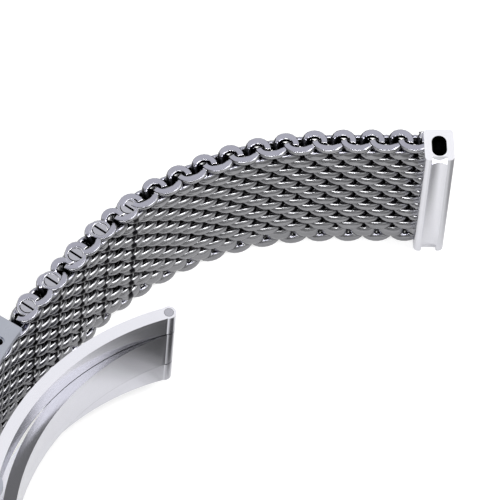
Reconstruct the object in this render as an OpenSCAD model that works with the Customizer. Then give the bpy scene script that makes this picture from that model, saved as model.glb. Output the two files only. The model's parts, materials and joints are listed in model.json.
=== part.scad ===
// A heavy woven-mesh watch bracelet with screwed links and a folding clasp.
// It stands on its edge: Z runs across the band, and the origin is the middle of
// the spring bar bore in the upper end piece. Both halves curve towards the wrist.

/* [Band] */
// Width across the band, the same as the space between the watch's lugs
band_w = 22; // [18:0.5:26]
// Thickness of the woven mesh and the links
mesh_t = 3.5; // [3:0.1:4]
// Length of one row of mesh, which is two spiral wires
row_pitch = 3.8; // [3.4:0.1:4.6]
// Free gap left between two neighbouring pieces of mesh
row_gap = 0.3; // [0.25:0.05:0.5]
// Depth of the ring groove that marks each wire loop on the band's edges
loop_groove = 0.5; // [0.2:0.1:1]
// Thickness of the woven core that joins two rows
core_t = 2.5; // [1.5:0.1:2.9]

/* [Screwed links] */
// Distance from one link screw to the next
link_pitch = 5.1; // [4.8:0.1:7]
// Distance from the last link's screw to the end of the clasp cover
tang_reach = 3.25; // [3.2:0.05:3.6]
// Width of the middle knuckle of each link
knuckle_w = 11; // [6:0.5:13]
// Play around and beside a knuckle
knuckle_play = 0.2; // [0.15:0.05:0.4]
// Radius of the link screw's plain shank
screw_r = 0.6; // [0.4:0.05:0.8]
// Radius of the screw's slotted head
head_r = 0.95; // [0.85:0.05:1.2]
// Height of the screw's head
head_h = 0.9; // [0.6:0.1:1.5]
// Width of the driver slot
slot_w = 0.3; // [0.2:0.05:0.4]
// Depth of the driver slot
slot_deep = 0.4; // [0.2:0.05:0.5]
// Running clearance, on the radius, of every screw and pin in its hole
pin_play = 0.04; // [0.02:0.01:0.08]

/* [End pieces] */
// Length of an end piece along the band
end_len = 3.95; // [3.8:0.05:5]
// Thickness of an end piece
end_t = 4.9; // [4.6:0.1:6]
// How far the spring bar sits towards the wrist from the middle of the mesh
bar_drop = 0.95; // [0.8:0.05:1.2]
// Radius of the bore for the watch's spring bar
bore_r = 1; // [0.8:0.05:1.1]
// Length across the oval mouth of the bore
mouth_long = 3.2; // [2.8:0.1:3.4]
// Depth of the oval mouth
mouth_deep = 2.5; // [1:0.1:4]
// Radius of the concave flute along the wrist side
flute_r = 1.6; // [1.3:0.1:1.8]
// Depth of that flute
flute_deep = 0.45; // [0.3:0.05:0.6]
// How far the flute's web stops short of the end piece's two ends
web_step = 1.2; // [0.6:0.1:2]

/* [Clasp] */
// Radius of the band's middle line inside the clasp cover
clasp_r = 37.2; // [34:0.1:45]
// Length of the cover along that line
cover_len = 38; // [36:0.5:48]
// Thickness of the cover's outer plate
plate_t = 1; // [0.8:0.1:1.4]
// Thickness of the cover's side walls
wall_t = 1; // [0.8:0.1:1.4]
// Depth of the side walls, measured from the outer face
wall_deep = 4.6; // [4.2:0.1:5]
// Clearance between the band and the inside of the cover
cover_play = 0.35; // [0.3:0.05:0.6]
// Number of adjustment holes in each side wall
hole_count = 6; // [5:1:6]
// Distance from the cover's end to the first hole
hole_first = 3.3; // [2.5:0.1:4]
// Distance from hole to hole
hole_pitch = 3.1; // [2.8:0.1:3.2]
// Hole that holds the adjustment bar, counted from the cover's end
hole_used = 5; // [3:1:5]
// Radius of an adjustment hole
hole_r = 0.5; // [0.4:0.05:0.6]
// Radius of the countersink around each adjustment hole
sink_r = 0.7; // [0.65:0.05:0.9]
// Outer radius of the adjustment bar's sleeve
sleeve_r = 0.85; // [0.8:0.05:1]
// Radius of the bore inside that sleeve
sleeve_bore_r = 0.6; // [0.55:0.05:0.65]
// How far each tip of the adjustment bar can be pushed in
tip_travel = 1.1; // [0.8:0.1:1.4]
// Turns of the spring inside the sleeve
spring_turns = 14; // [8:1:20]
// Radius of that spring's wire
spring_wire_r = 0.12; // [0.08:0.01:0.15]

/* [Folding leaves] */
// Thickness of both leaves
leaf_t = 1.7; // [1.4:0.1:1.9]
// Width over the frame leaf's two rails
leaf_w = 15.2; // [14:0.2:16]
// Width of the tongue leaf
tongue_w = 7.3; // [6:0.1:8]
// Clearance on each side of the tongue between the rails
tongue_play = 0.12; // [0.08:0.02:0.2]
// Clearance between the band and the closed leaves
leaf_play = 0.45; // [0.35:0.05:0.7]
// Distance from the cover's end to the frame leaf's hinge
hinge_from_end = 26; // [24:0.5:30]
// Length of the frame leaf between its two hinges
frame_len = 39; // [34:0.5:42]
// Distance from the cover's far end to the tongue's last pin
tail_len = 3.3; // [3.2:0.1:5]
// Radius of the fold pin
fold_pin_r = 0.6; // [0.4:0.05:0.65]
// Radius of the cover's hinge pins
hinge_pin_r = 0.7; // [0.5:0.05:0.9]
// Radius of the round lug that holds a hinge pin in each side wall
hinge_lug_r = 1.9; // [1.7:0.1:2.1]
// How far the tongue's last pin stands above the middle of the leaf
tail_rise = 1.4; // [1.3:0.05:1.5]
// How far the cover stands open from the frame leaf, in degrees
open_angle = 13; // [0:1:16]
// How far the tongue leaf stands out of the frame leaf, in degrees
fold_angle = 5; // [4:1:8]

/* [Hidden] */
$fn = 48;
hw = band_w / 2;
tr = mesh_t / 2;
row_r = (row_pitch - row_gap) / 2;
eps = 0.01;

// Pieces of mesh, as the number of rows in each, from the end piece to the links
upper_rows = [2, 2, 2, 2, 2, 1];
lower_rows = [2, 2, 2, 2, 1];
upper_links = 4;
lower_links = 4;

// Bend before each piece at rest, in degrees towards the wrist
upper_mesh_bend = [0, 0.5, 9.5, 11, 10, 9];
upper_link_bend = [3, 7, 1, 0, 1];
tang_bend = 3;
lower_link_bend = [8, 8, 8, 8];
lower_mesh_bend = [9, 11, 11, 11, 10];
lower_end_bend = 5;

// Knuckle heights, measured from the middle of the band
middle_z = knuckle_w / 2;
outer_z = middle_z + knuckle_play;
thread_foot = 1.2;
// How far a screw's head and a tip's nose lie below the band's edge
head_sunk = 0.05;
tip_sunk = 0.1;
// Way that every driver slot points
slot_turn = -38;

function unit(a) = [cos(a), sin(a)];
function turned(p, centre, a) = let (d = p - centre)
    centre + [d[0] * cos(a) - d[1] * sin(a), d[0] * sin(a) + d[1] * cos(a)];
function total(v, n) = n <= 0 ? 0 : v[n - 1] + total(v, n - 1);
function headings(first, bends) = [for (i = [1:len(bends)]) first + total(bends, i)];
function pivots(start, lengths, heads) = [for (i = [0:len(lengths)])
    [start[0] + total([for (k = [0:len(lengths) - 1]) lengths[k] * cos(heads[k])], i),
     start[1] + total([for (k = [0:len(lengths) - 1]) lengths[k] * sin(heads[k])], i)]];

// Upper half, from its end piece to the clasp
mesh_pieces_u = len(upper_rows);
mesh_pieces_l = len(lower_rows);
bar_arc = hole_first + (hole_used - 1) * hole_pitch;
upper_len = concat([for (n = upper_rows) n * row_pitch], [for (i = [1:upper_links]) link_pitch],
                   [tang_reach]);
upper_head = headings(180, concat(upper_mesh_bend, upper_link_bend));
first_pivot = [-(end_len / 2 + row_gap / 2), bar_drop];
upper_at = pivots(first_pivot, upper_len, upper_head);
tang_pivot = upper_at[mesh_pieces_u + upper_links];
cover_end = upper_at[len(upper_len)];

// Clasp, on circles about one centre while it is closed
cover_head = upper_head[len(upper_head) - 1] + tang_bend;
clasp_centre = cover_end + clasp_r * unit(cover_head + 90);
clasp_turn = cover_head - 90;
function arc_deg(length) = length / clasp_r * 180 / PI;
function on_clasp(r, a) = clasp_centre + r * unit(clasp_turn + a);
bar_deg = arc_deg(bar_arc);
cover_deg = arc_deg(cover_len);
hinge_deg = arc_deg(hinge_from_end);
tail_deg = cover_deg + arc_deg(tail_len);
plate_r = clasp_r + tr + cover_play;
wall_r = plate_r + plate_t - wall_deep;
leaf_out = clasp_r - tr - leaf_play;
leaf_in = leaf_out - leaf_t;
leaf_r = leaf_out - leaf_t / 2;
fold_deg = hinge_deg - frame_len / leaf_r * 180 / PI;
tail_r = leaf_r + tail_rise;
rail_in = tongue_w / 2 + tongue_play;
inside_z = hw - wall_t;
tang_w = inside_z - cover_play;
spring_top = tang_w - 0.8 - tip_travel;
bar_at = on_clasp(clasp_r, bar_deg);
hinge_at = on_clasp(leaf_r, hinge_deg);
fold_closed = on_clasp(leaf_r, fold_deg);
fold_at = turned(fold_closed, hinge_at, -open_angle);
tail_at = turned(turned(on_clasp(tail_r, tail_deg), fold_closed, fold_angle), hinge_at, -open_angle);
tail_head = clasp_turn + tail_deg + 90 - open_angle + fold_angle;

// Lower half, from the clasp's tongue to its end piece
lower_len = concat([for (i = [1:lower_links]) link_pitch],
                   [for (i = [mesh_pieces_l - 1:-1:0]) lower_rows[i] * row_pitch]);
lower_head = headings(tail_head, concat(lower_link_bend, lower_mesh_bend, [lower_end_bend]));
lower_at = pivots(tail_at, lower_len, lower_head);

// Puts a piece at a point of the band, pointing along it
module put(at, heading) {
    translate([at[0], at[1], 0]) rotate(heading) children();
}

// An upright cylinder between two heights
module post(x, y, r, z0, z1) {
    translate([x, y, z0]) cylinder(r = r, h = z1 - z0);
}

// The same thing at both edges of the band
module both_edges() {
    children();
    mirror([0, 0, 1]) children();
}

// A piece of mesh: rounded rows across the band, joined by the woven core.
// Each row ends in a ring groove, which is the wire loop ground flat at the edge.
module mesh_rows(rows) {
    // The core stops short of both edges, and the loop's wire fills the outer part of the row's end
    core_in = 1;
    loop_out = 0.72 * row_r;
    loop_in = 0.36 * row_r;
    difference() {
        union() {
            for (i = [1:rows]) post((i - 0.5) * row_pitch, 0, row_r, -hw, hw);
            if (rows > 1)
                translate([row_pitch / 2, -core_t / 2, -hw + core_in])
                    cube([(rows - 1) * row_pitch, core_t, band_w - 2 * core_in]);
        }
        for (i = [1:rows]) both_edges()
            translate([(i - 0.5) * row_pitch, 0, hw - loop_groove]) difference() {
                cylinder(r = loop_out, h = 1);
                translate([0, 0, -eps]) cylinder(r = loop_in, h = 2);
            }
    }
}

// Room for the neighbour's middle knuckle, or for its two outer knuckles
module middle_room(x) {
    post(x, 0, tr + knuckle_play, -outer_z, outer_z);
}
module outer_room(x) {
    both_edges() post(x, 0, tr + knuckle_play, middle_z, hw + 1);
}

// Screw hole through the outer knuckles, with a seat for the slotted head
module screw_hole(x) {
    post(x, 0, screw_r + pin_play, -hw + thread_foot, hw + 1);
    post(x, 0, head_r + pin_play, hw - head_h, hw + 1);
}
module middle_bore(x) {
    post(x, 0, screw_r + pin_play, -hw, hw);
}

// A removable link. Its outer knuckles, at x = 0, hold a screw or a pin,
// and its middle knuckle turns on the next link's screw, at x = link_pitch.
module link() {
    difference() {
        union() {
            post(0, 0, tr, -hw, hw);
            post(link_pitch, 0, tr, -middle_z, middle_z);
            translate([0, -tr, -hw]) cube([link_pitch, mesh_t, band_w]);
        }
        middle_room(0);
        outer_room(link_pitch);
        middle_bore(link_pitch);
        screw_hole(0);
    }
}

// The slotted screw that holds two links together
module link_screw() {
    // The head rests just above its seat, and the shank reaches into it
    head_lift = 0.02;
    color([0.72, 0.72, 0.76]) rotate(slot_turn) difference() {
        union() {
            post(0, 0, screw_r, -hw + thread_foot + 0.1, hw - head_h);
            post(0, 0, head_r, hw - head_h + head_lift, hw - head_sunk);
            post(0, 0, screw_r, hw - head_h - 0.2, hw - head_h + 0.2);
        }
        translate([-2 * head_r, -slot_w / 2, hw - head_sunk - slot_deep])
            cube([4 * head_r, slot_w, 1]);
    }
}

// An end piece with its spring bar bore on the Z axis and the mesh leaving along +X.
// The wrist is on the +Y side.
module end_piece() {
    corner = 0.6;
    // The bore lies a little nearer to the wrist side than the middle of the thickness
    off_middle = 0.15;
    low = -(end_t / 2 + off_middle);
    high = end_t / 2 - off_middle;
    color([0.8, 0.8, 0.84]) difference() {
        union() {
            translate([-end_len / 2, low + corner, -hw])
                cube([end_len, high - low - 2 * corner, band_w]);
            translate([-end_len / 2 + corner, low, -hw])
                cube([end_len - 2 * corner, high - low, band_w]);
            for (x = [-1, 1], y = [low + corner, high - corner])
                post(x * (end_len / 2 - corner), y, corner, -hw, hw);
        }
        post(0, 0, bore_r, -hw - 1, hw + 1);
        both_edges() for (y = [-1, 1])
            post(0, y * (mouth_long / 2 - bore_r), bore_r, hw - mouth_deep, hw + 1);
        both_edges() translate([-bore_r, -(mouth_long / 2 - bore_r), hw - mouth_deep])
            cube([2 * bore_r, mouth_long - 2 * bore_r, mouth_deep + 1]);
        post(0, high + flute_r - flute_deep, flute_r, -hw - 1, hw + 1);
        both_edges() translate([-end_len / 4, high - 0.6, hw - web_step])
            cube([end_len / 2, 1, 2]);
    }
}

// A piece between two radii and two angles of the closed clasp
module arc_bar(r0, r1, a0, a1, z0, z1) {
    rotate(a0) rotate_extrude(angle = a1 - a0, $fn = 180) translate([r0, z0]) square([r1 - r0, z1 - z0]);
}
module clasp_post(r, a, radius, z0, z1) {
    rotate(a) post(r, 0, radius, z0, z1);
}
module in_clasp() {
    translate([clasp_centre[0], clasp_centre[1], 0]) rotate(clasp_turn) children();
}
module turn_about(p, a) {
    translate([p[0], p[1], 0]) rotate(a) translate([-p[0], -p[1], 0]) children();
}

module clasp_cover() {
    sink_deep = 0.25;
    color([0.62, 0.65, 0.72]) in_clasp() difference() {
        union() {
            arc_bar(plate_r, plate_r + plate_t, 0, cover_deg, -hw, hw);
            both_edges() {
                arc_bar(wall_r, plate_r + plate_t, 0, cover_deg, inside_z, hw);
                clasp_post(leaf_r, hinge_deg, hinge_lug_r, inside_z, hw);
            }
        }
        for (i = [0:hole_count - 1]) rotate(arc_deg(hole_first + i * hole_pitch)) {
            post(clasp_r, 0, hole_r, -hw - 1, hw + 1);
            both_edges() post(clasp_r, 0, sink_r, hw - sink_deep, hw + 1);
        }
        clasp_post(leaf_r, hinge_deg, hinge_pin_r + pin_play, -hw - 1, hw + 1);
    }
}

// Two short pins, one in each side wall, on which the frame leaf turns
module cover_hinge_pins() {
    // Each pin stops short of the rail's inner side, clear of the tongue
    short = 0.4;
    color([0.75, 0.75, 0.78]) in_clasp() both_edges()
        clasp_post(leaf_r, hinge_deg, hinge_pin_r, rail_in + short, hw - head_sunk);
}

// The short leaf: two rails with a bridge behind the tongue
module frame_leaf() {
    rail_out = leaf_w / 2;
    // Eyes are a little thicker than the leaf
    fold_eye = leaf_t / 2 + 0.1;
    hinge_eye = leaf_t / 2 + 0.5;
    // The bridge crosses over the tongue just beside the hinge
    bridge_end = hinge_deg - 3;
    bridge_start = bridge_end - 3;
    bridge_in = leaf_out + 0.15;
    bridge_out = leaf_out + 1.2;
    color([0.78, 0.78, 0.84]) turn_about(hinge_at, -open_angle) in_clasp() difference() {
        union() {
            both_edges() {
                arc_bar(leaf_in, leaf_out, fold_deg, hinge_deg, rail_in, rail_out);
                clasp_post(leaf_r, fold_deg, fold_eye, rail_in, rail_out);
                clasp_post(leaf_r, hinge_deg, hinge_eye, rail_in, inside_z - knuckle_play);
                arc_bar(leaf_r, bridge_out, bridge_start, bridge_end, rail_in, rail_out);
            }
            arc_bar(bridge_in, bridge_out, bridge_start, bridge_end, -rail_out, rail_out);
        }
        clasp_post(leaf_r, fold_deg, fold_pin_r + pin_play, -hw, hw);
        clasp_post(leaf_r, hinge_deg, hinge_pin_r + pin_play, -hw, hw);
    }
}

module fold_pin() {
    color([0.85, 0.85, 0.88]) put(fold_at, 0) post(0, 0, fold_pin_r, -leaf_w / 2, leaf_w / 2);
}

// The long leaf, which lies between the rails and carries the lower half of the band
module tongue_leaf() {
    half = tongue_w / 2;
    // Both eyes stand a little back from the leaf's sides, and the riser a little more
    eye = half - 0.05;
    riser = half - 0.15;
    // The riser starts just past the cover's end, and the leaf stops before the tail's hole
    riser_start = cover_deg + arc_deg(0.9);
    leaf_stop = tail_deg - arc_deg(0.5);
    color([0.78, 0.78, 0.84]) turn_about(hinge_at, -open_angle) turn_about(fold_closed, fold_angle)
        in_clasp() difference() {
            union() {
                arc_bar(leaf_in, leaf_out, fold_deg, leaf_stop, -half, half);
                clasp_post(leaf_r, fold_deg, leaf_t / 2 + 0.1, -eye, eye);
                arc_bar(leaf_r, tail_r, riser_start, tail_deg, -riser, riser);
                clasp_post(tail_r, tail_deg, tr - 0.1, -eye, eye);
            }
            clasp_post(leaf_r, fold_deg, fold_pin_r + pin_play, -hw, hw);
            clasp_post(tail_r, tail_deg, screw_r + pin_play, -hw, hw);
        }
}

// The end of the upper half that slides in the cover, from its screwed knuckles to the bar
module adjuster_tang() {
    // The row beside the screw is a little thinner, so that it ends inside the knuckle block
    narrower = 0.15;
    // The core ends in the last row, just before the adjustment bar's hole
    core_end = (sleeve_r + pin_play + sqrt(row_r * row_r - core_t * core_t / 4)) / 2;
    core_z = tang_w - 1;
    block_len = tang_reach - knuckle_play - 0.3;
    color([0.66, 0.66, 0.7]) difference() {
        union() {
            put(tang_pivot, upper_head[len(upper_head) - 1]) {
                post(0, 0, tr, -hw, hw);
                translate([0, -tr, -hw]) cube([block_len, mesh_t, band_w]);
            }
            in_clasp() {
                arc_bar(clasp_r - core_t / 2, clasp_r + core_t / 2, -arc_deg(1),
                        bar_deg - arc_deg(core_end), -core_z, core_z);
                for (i = [0:3]) rotate(bar_deg - i * arc_deg(row_pitch))
                    post(clasp_r, 0, row_r, -tang_w, tang_w);
                rotate(bar_deg - 4 * arc_deg(row_pitch))
                    post(clasp_r, 0, row_r - narrower, -tang_w, tang_w);
            }
        }
        put(tang_pivot, upper_head[len(upper_head) - 1]) {
            middle_room(0);
            screw_hole(0);
        }
        put(bar_at, 0) post(0, 0, sleeve_r + pin_play, -hw, hw);
    }
}

// The adjustment bar: a sleeve, a spring inside it and a tip at each end
module adjuster_bar_sleeve() {
    color([0.7, 0.7, 0.72]) put(bar_at, 0) difference() {
        post(0, 0, sleeve_r, -tang_w, tang_w);
        post(0, 0, sleeve_bore_r, -tang_w - 1, tang_w + 1);
    }
}

// One tip: a stem that slides in the sleeve and a nose that fits the cover's hole
module adjuster_tip() {
    color([0.8, 0.8, 0.82]) put(bar_at, 0) {
        post(0, 0, sleeve_bore_r - pin_play, spring_top + 0.05, tang_w - 0.05);
        post(0, 0, hole_r - pin_play, tang_w - 0.3, hw - tip_sunk);
    }
}

// The spring: a round wire along a helix, written as rings of eight corners
module adjuster_bar_spring() {
    steps = 10 * spring_turns;
    sides = 6;
    coil_r = sleeve_bore_r - spring_wire_r - 0.06;
    rise = 2 * (spring_top - spring_wire_r) / steps;
    points = [for (i = [0:steps]) for (k = [0:sides - 1])
        let (a = 36 * i, b = 360 * k / sides, r = coil_r + spring_wire_r * cos(b))
            [r * cos(a), r * sin(a), -spring_top + spring_wire_r + i * rise + spring_wire_r * sin(b)]];
    walls = [for (i = [0:steps - 1]) for (k = [0:sides - 1])
        let (a = i * sides + k, b = i * sides + (k + 1) % sides)
            each [[a, b, b + sides], [a, b + sides, a + sides]]];
    start_cap = [for (k = [1:sides - 2]) [0, k + 1, k]];
    last = steps * sides;
    end_cap = [for (k = [1:sides - 2]) [last, last + k, last + k + 1]];
    color([0.6, 0.6, 0.62]) put(bar_at, 0) polyhedron(points, concat(walls, start_cap, end_cap));
}

// A piece of mesh that ends in the middle knuckle of the first screw of the upper half
module upper_mesh(i) {
    rows = upper_rows[i - 1];
    last = rows * row_pitch;
    color([0.66, 0.66, 0.7]) put(upper_at[i - 1], upper_head[i - 1])
        if (i < mesh_pieces_u) mesh_rows(rows);
        else difference() {
            union() {
                mesh_rows(rows);
                post(last, 0, tr, -middle_z, middle_z);
                translate([last - row_pitch / 2, -tr, -middle_z]) cube([row_pitch / 2, mesh_t, knuckle_w]);
            }
            outer_room(last);
            middle_bore(last);
        }
}

// The lower half's pieces of mesh; the one beside the links holds their last screw
module lower_mesh(i) {
    n = lower_links + mesh_pieces_l - i;
    color([0.66, 0.66, 0.7]) put(lower_at[n], lower_head[n])
        if (i < mesh_pieces_l) mesh_rows(lower_rows[i - 1]);
        else difference() {
            union() {
                mesh_rows(lower_rows[i - 1]);
                post(0, 0, tr, -hw, hw);
                translate([0, -tr, -hw]) cube([row_pitch / 2, mesh_t, band_w]);
            }
            middle_room(0);
            screw_hole(0);
        }
}

module upper_link(i) {
    color([0.68, 0.68, 0.72]) put(upper_at[mesh_pieces_u + i - 1], upper_head[mesh_pieces_u + i - 1])
        link();
}
module lower_link(i) {
    color([0.68, 0.68, 0.72]) put(lower_at[i - 1], lower_head[i - 1]) link();
}
module upper_screw(i) {
    put(upper_at[mesh_pieces_u + i - 1], 0) link_screw();
}
module lower_screw(i) {
    put(lower_at[i - 1], 0) link_screw();
}

module lower_end_piece() {
    last = len(lower_len);
    put(lower_at[last], lower_head[last] + 180) mirror([0, 1, 0])
        translate([-(end_len + row_gap) / 2, bar_drop, 0]) end_piece();
}

rotate(180) end_piece();  // upper_end_piece
for (i = [1:mesh_pieces_u])
    upper_mesh(i);
for (i = [1:upper_links])
    upper_link(i);
for (i = [1:upper_links + 1])
    upper_screw(i);
adjuster_tang();
adjuster_bar_sleeve();
adjuster_bar_spring();
adjuster_tip();  // adjuster_tip_top
mirror([0, 0, 1]) adjuster_tip();  // adjuster_tip_bottom
clasp_cover();
cover_hinge_pins();
frame_leaf();
fold_pin();
tongue_leaf();
for (i = [1:lower_links])
    lower_link(i);
for (i = [1:lower_links + 1])
    lower_screw(i);
for (i = [1:mesh_pieces_l])
    lower_mesh(i);
lower_end_piece();
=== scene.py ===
# %% [markdown]
# # A woven steel watch bracelet
# The band is a mesh of flattened wire spirals, each one threaded through its neighbours. Beside the clasp
# come four screwed links, then a piece of mesh that slides in the clasp's curved cover. The measured solids
# are loaded first and never moved: they say where each piece sits and which body carries it. Sizes are in
# millimetres, and MM turns them into Blender's metres.

import json
import math

import bpy
import numpy as np
from mathutils import Matrix, Vector


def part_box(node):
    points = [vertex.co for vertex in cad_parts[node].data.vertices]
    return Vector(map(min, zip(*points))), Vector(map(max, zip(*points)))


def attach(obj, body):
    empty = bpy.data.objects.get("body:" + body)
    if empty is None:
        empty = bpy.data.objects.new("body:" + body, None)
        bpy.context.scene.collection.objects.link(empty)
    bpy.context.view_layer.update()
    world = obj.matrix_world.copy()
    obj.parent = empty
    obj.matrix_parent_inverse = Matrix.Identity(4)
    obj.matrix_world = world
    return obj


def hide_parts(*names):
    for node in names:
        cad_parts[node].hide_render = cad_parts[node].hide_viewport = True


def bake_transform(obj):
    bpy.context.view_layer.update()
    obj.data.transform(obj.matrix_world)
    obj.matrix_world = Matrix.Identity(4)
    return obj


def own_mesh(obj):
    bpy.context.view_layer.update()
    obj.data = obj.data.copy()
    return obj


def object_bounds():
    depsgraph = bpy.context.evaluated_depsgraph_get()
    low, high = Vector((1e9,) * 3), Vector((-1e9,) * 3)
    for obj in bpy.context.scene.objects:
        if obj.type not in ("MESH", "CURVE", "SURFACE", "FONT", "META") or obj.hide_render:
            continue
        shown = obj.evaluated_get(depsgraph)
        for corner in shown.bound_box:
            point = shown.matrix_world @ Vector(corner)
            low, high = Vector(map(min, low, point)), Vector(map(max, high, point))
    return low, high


MM = 0.001
HALF_WIDTH = 11.0

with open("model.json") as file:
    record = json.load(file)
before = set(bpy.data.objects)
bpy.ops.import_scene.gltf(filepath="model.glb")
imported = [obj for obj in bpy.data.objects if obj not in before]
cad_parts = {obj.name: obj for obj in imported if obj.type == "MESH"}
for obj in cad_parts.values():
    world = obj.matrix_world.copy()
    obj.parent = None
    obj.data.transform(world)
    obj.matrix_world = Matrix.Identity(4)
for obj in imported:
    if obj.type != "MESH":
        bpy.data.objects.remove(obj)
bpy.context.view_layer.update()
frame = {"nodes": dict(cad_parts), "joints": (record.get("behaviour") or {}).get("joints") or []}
nodes = frame["nodes"]


def joint_at(name):
    """Where a joint turns, in millimetres."""
    found = next(j for j in frame["joints"] if j["name"] == name)
    return np.array(found["pos_m"][:2]) / MM


def numbered(pattern, numbers):
    """Names made from one pattern, such as upper_mesh_1 to upper_mesh_6."""
    return [pattern.format(n) for n in numbers]


# %% [markdown]
# ## The camera
# The photograph is taken from far away with a long lens, looking down at the wrist side of the band. A
# camera about a metre off, turned a few degrees about its own axis, gives the same lean to the upright edges.

# %% Camera
LOOK_AT = (-24.75, -9.21, 0.0)
DISTANCE, TURN, HEIGHT, ROLL = 1000.0, -6.72, 57.1, 5.56
FOCAL, PICTURE, SENSOR = 7567.6, 500, 36


def aim_camera():
    """The camera sits on a ray from LOOK_AT, at TURN degrees of azimuth and HEIGHT of elevation. FOCAL is
    its focal length in pixels of a picture PICTURE wide, so the lens is that share of the sensor's width."""
    turn, height = math.radians(TURN), math.radians(HEIGHT)
    level_part = math.cos(height)
    ahead = Vector((-math.sin(turn) * level_part, math.cos(turn) * level_part, -math.sin(height)))
    camera = bpy.data.objects.new("camera", bpy.data.cameras.new("camera"))
    bpy.context.scene.collection.objects.link(camera)
    camera.location = (Vector(LOOK_AT) - ahead * DISTANCE) * MM
    camera.rotation_mode = "QUATERNION"
    level = ahead.to_track_quat("-Z", "Y").to_matrix()
    camera.rotation_quaternion = (level @ Matrix.Rotation(math.radians(ROLL), 3, "Z")).to_quaternion()
    camera.data.sensor_width = SENSOR
    camera.data.lens = FOCAL * SENSOR / PICTURE
    camera.data.clip_start, camera.data.clip_end = 0.05, 10
    bpy.context.scene.camera = camera


aim_camera()
print("lens:", round(bpy.context.scene.camera.data.lens), "mm")

# %% [markdown]
# ## Steel, and how it is finished
# All of it is one metal, but each piece is finished in its own way: drawn wire is smooth with faint lines,
# the ground edges and the clasp are brushed one way, and the end pieces are satin. A picture of scratches
# laid over each piece would show seams, so they are worked out from where each point lies. What several
# finishes share is built once as a group of nodes, and every finish places it with its own values.

# %% Node helpers
def group(name, inputs, outputs):
    """A new shader node group with named number or vector sockets. Returns its tree and both ends."""
    tree = bpy.data.node_groups.new(name, "ShaderNodeTree")
    for label, kind, value in inputs:
        socket = tree.interface.new_socket(name=label, in_out="INPUT", socket_type=f"NodeSocket{kind}")
        if value is not None:
            socket.default_value = value
    for label, kind in outputs:
        tree.interface.new_socket(name=label, in_out="OUTPUT", socket_type=f"NodeSocket{kind}")
    return tree, tree.nodes.new("NodeGroupInput"), tree.nodes.new("NodeGroupOutput")


def node(tree, kind, settings=None, **inputs):
    """Adds a node, sets its properties, and links or sets its inputs. Those are named, with underscores for
    spaces, or counted, such as at0."""
    made = tree.nodes.new(kind)
    for key, value in (settings or {}).items():
        setattr(made, key, value)
    for key, value in inputs.items():
        counted = key.startswith("at") and key[2:].isdigit()
        socket = made.inputs[int(key[2:]) if counted else key.replace("_", " ")]
        if isinstance(value, bpy.types.NodeSocket):
            tree.links.new(value, socket)
        else:
            socket.default_value = value
    return made


def math_node(tree, operation, a, b=0.0):
    """One arithmetic step."""
    return node(tree, "ShaderNodeMath", {"operation": operation}, at0=a, at1=b).outputs[0]


def colour_mix(tree, share, first, second):
    """The first colour where share is 0, the second where it is 1. A colour is a socket or four numbers."""
    return node(tree, "ShaderNodeMix", {"data_type": "RGBA"}, at0=share, at6=first, at7=second).outputs[2]


# %% [markdown]
# ## Scratches and stains
# Steel is brushed with a belt, which leaves fine lines of two sizes, all one way. Noise that is fine across
# and long along that way reads as such lines. Softer clouds of noise stand for faint stains and for polish
# that isn't even.

# %% Scratches and stains
FINE_SHARE, BROAD_SHARE, BROAD_SCALE = 0.6, 0.4, 0.22


def brushed_lines():
    """Noise stretched along one axis of the given vector reads as scratches. Two sizes are added together."""
    tree, start, end = group(
        "brushed lines",
        [("Vector", "Vector", None), ("Fine", "Float", 6000.0), ("Length", "Float", 0.03)],
        [("Height", "Float"), ("Rough", "Float")])
    parts = node(tree, "ShaderNodeSeparateXYZ", Vector=start.outputs["Vector"])
    fine = start.outputs["Fine"]
    along = math_node(tree, "MULTIPLY", fine, start.outputs["Length"])
    stretched = node(tree, "ShaderNodeCombineXYZ", X=math_node(tree, "MULTIPLY", parts.outputs["X"], along),
                     Y=math_node(tree, "MULTIPLY", parts.outputs["Y"], fine),
                     Z=math_node(tree, "MULTIPLY", parts.outputs["Z"], fine)).outputs[0]
    small = node(tree, "ShaderNodeTexNoise", Vector=stretched, Scale=1.0, Detail=3.0)
    broad = node(tree, "ShaderNodeTexNoise", Vector=stretched, Scale=BROAD_SCALE, Detail=2.0)
    both = math_node(tree, "ADD", math_node(tree, "MULTIPLY", small.outputs["Fac"], FINE_SHARE),
                     math_node(tree, "MULTIPLY", broad.outputs["Fac"], BROAD_SHARE))
    rough = node(tree, "ShaderNodeMapRange", Value=both, From_Min=0.3, From_Max=0.7, To_Min=-1.0, To_Max=1.0)
    tree.links.new(both, end.inputs["Height"])
    tree.links.new(rough.outputs[0], end.inputs["Rough"])
    return tree


def stains():
    """Soft clouds of several sizes, from 0 to 1."""
    tree, start, end = group("stains", [("Vector", "Vector", None), ("Size", "Float", 400.0)],
                             [("Mask", "Float")])
    cloud = node(tree, "ShaderNodeTexNoise", Vector=start.outputs["Vector"], Scale=start.outputs["Size"],
                 Detail=4.0)
    spread = node(tree, "ShaderNodeMapRange", Value=cloud.outputs["Fac"], From_Min=0.35, From_Max=0.65)
    tree.links.new(spread.outputs[0], end.inputs["Mask"])
    return tree


BRUSHED, STAINS = brushed_lines(), stains()
print("groups:", BRUSHED.name, "and", STAINS.name)

# %% [markdown]
# ## Lines that go round the clasp
# The cover and both leaves are bent plates, and their brushing follows the bend. So their scratches read arc
# length, radius and height about the centre of the closed clasp instead of plain coordinates.

# %% Round the clasp
CLASP_X, CLASP_Y = -26.286, -48.727
CLASP_CENTRE = (CLASP_X * MM, CLASP_Y * MM, 0.0)
BEND_R = 37.0


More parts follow.
